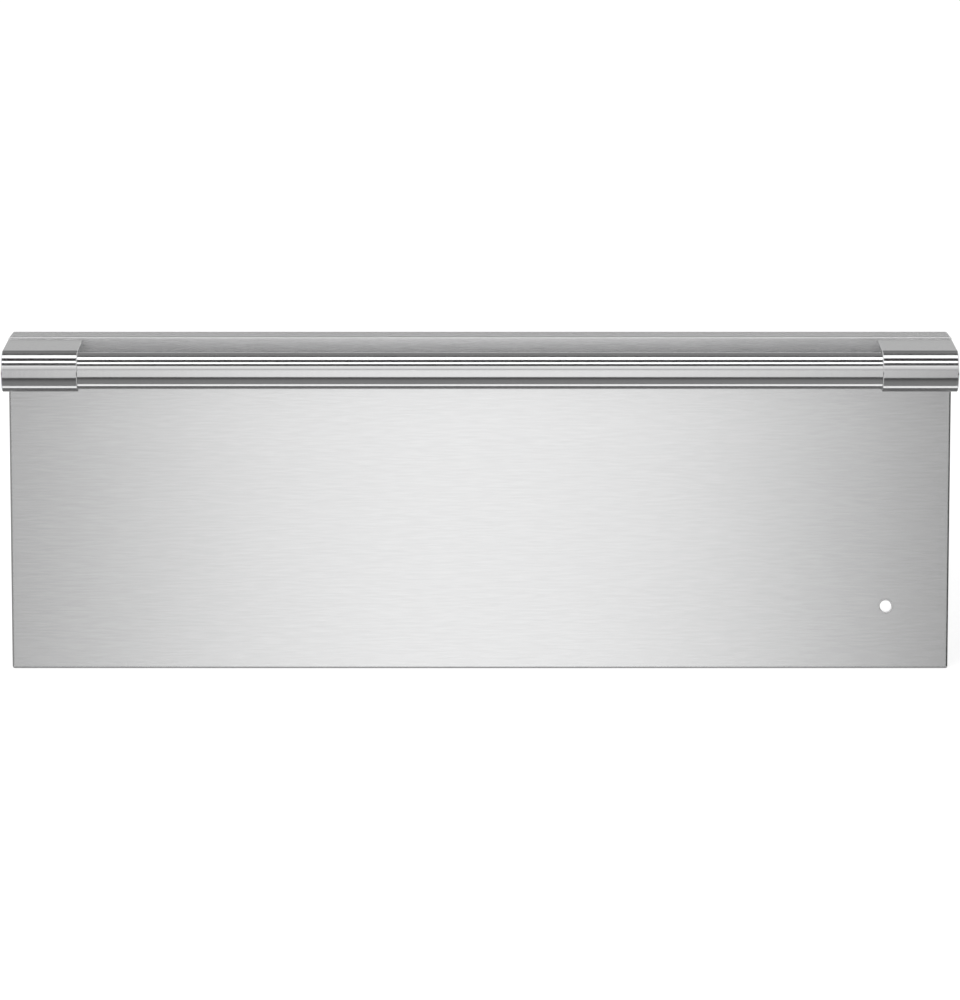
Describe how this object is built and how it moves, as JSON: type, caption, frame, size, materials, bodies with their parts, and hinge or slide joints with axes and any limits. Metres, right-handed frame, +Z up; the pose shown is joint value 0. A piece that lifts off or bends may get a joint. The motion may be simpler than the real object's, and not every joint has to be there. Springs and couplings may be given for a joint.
{
  "type": "built-in warming drawer",
  "caption": "Built-in warming drawer: insulated steel case, heated tub on telescopic runners, brushed steel front with a full-width bar handle and a signal lamp.",
  "frame": {"origin": "middle of the case's underside, where it stands on the floor of the cabinet's cut-out", "axes": "+Z up; -Y towards the front, out of the cabinet, the way the drawer opens; +X to the right of somebody who faces the front"},
  "size_m": [0.7556, 0.7099, 0.2695],
  "materials": {
    "brushed_stainless": "stainless steel with a fine horizontal brushed grain",
    "handle_stainless": "stainless steel, fine brushed, glossier than the front",
    "satin_stainless": "plain satin stainless sheet",
    "galvanised_steel": "galvanised sheet with a faint spangle",
    "aluminised_steel": "aluminised sheet, dull silver",
    "zinc_plated_steel": "bright zinc plate",
    "element_sheath": "oxidised heating element sheath",
    "glass_wool": "pale yellow glass wool blanket",
    "silicone_seal": "dark grey silicone",
    "black_plastic": "black heat-proof moulded plastic",
    "terminal_ceramic": "unglazed white ceramic",
    "lamp_lens": "white translucent lens",
    "rack_wire": "bright chrome-plated wire"
  },
  "bodies": {
    "chassis": {"case_base": "galvanised_steel", "case_top": "galvanised_steel", "case_left": "galvanised_steel", "case_right": "galvanised_steel", "case_rear": "galvanised_steel", "base_insulation": "glass_wool", "top_insulation": "glass_wool", "left_insulation": "glass_wool", "right_insulation": "glass_wool", "rear_insulation": "glass_wool", "liner_floor": "aluminised_steel", "liner_top": "aluminised_steel", "liner_left": "aluminised_steel", "liner_right": "aluminised_steel", "liner_rear": "aluminised_steel", "frame_left": "zinc_plated_steel", "frame_right": "zinc_plated_steel", "frame_top": "zinc_plated_steel", "frame_bottom": "zinc_plated_steel", "heating_element": "element_sheath", "element_support_front": "zinc_plated_steel", "element_support_rear": "zinc_plated_steel", "thermal_cutout": "black_plastic", "terminal_block": "terminal_ceramic", "terminal_cover": "galvanised_steel", "cable_gland": "black_plastic", "anti_tip_bracket": "zinc_plated_steel", "left_runner_outer": "zinc_plated_steel", "right_runner_outer": "zinc_plated_steel"},
    "left_runner_middle": {"left_runner_middle": "zinc_plated_steel"},
    "right_runner_middle": {"right_runner_middle": "zinc_plated_steel"},
    "drawer": {"left_runner_inner": "zinc_plated_steel", "right_runner_inner": "zinc_plated_steel", "left_rail": "zinc_plated_steel", "right_rail": "zinc_plated_steel", "rear_rail": "zinc_plated_steel", "drawer_tub": "satin_stainless", "front_panel": "brushed_stainless", "inner_front_panel": "satin_stainless", "front_insulation": "glass_wool", "front_gasket": "silicone_seal", "handle_bar": "handle_stainless", "left_handle_cap": "handle_stainless", "right_handle_cap": "handle_stainless", "handle_screw_1": "zinc_plated_steel", "handle_screw_2": "zinc_plated_steel", "handle_screw_3": "zinc_plated_steel", "handle_screw_4": "zinc_plated_steel", "lamp_bezel": "satin_stainless", "lamp_lens": "lamp_lens", "lamp_holder": "black_plastic", "console": "satin_stainless", "heat_control": "black_plastic", "left_vent_rivet": "zinc_plated_steel", "right_vent_rivet": "zinc_plated_steel"},
    "knob": {"heat_knob": "black_plastic", "knob_shaft": "zinc_plated_steel"},
    "vent": {"vent_slider": "brushed_stainless"},
    "rack": {"rack": "rack_wire"}
  },
  "joints": [
    {"name": "drawer_slide", "type": "slide", "parent": "chassis", "child": "drawer", "axis": [0, -1, 0], "range_m": [0, 0.5]},
    {"name": "left_runner_slide", "type": "slide", "parent": "chassis", "child": "left_runner_middle", "axis": [0, -1, 0], "range_m": [0, 0.25]},
    {"name": "right_runner_slide", "type": "slide", "parent": "chassis", "child": "right_runner_middle", "axis": [0, -1, 0], "range_m": [0, 0.25]},
    {"name": "knob_turn", "type": "hinge", "parent": "drawer", "child": "knob", "pos_m": [0.2508, -0.2648, 0.145], "axis": [0, 0, 1], "range_deg": [-270, 0]},
    {"name": "vent_slide", "type": "slide", "parent": "drawer", "child": "vent", "axis": [1, 0, 0], "range_m": [0, 0.011]},
    {"name": "rack_lift", "type": "slide", "parent": "drawer", "child": "rack", "axis": [0, 0, 1], "range_m": [0, 0.065]}
  ],
  "couplings": [
    {"joint": "left_runner_slide", "follows": "drawer_slide", "ratio": 0.5},
    {"joint": "right_runner_slide", "follows": "drawer_slide", "ratio": 0.5}
  ]
}
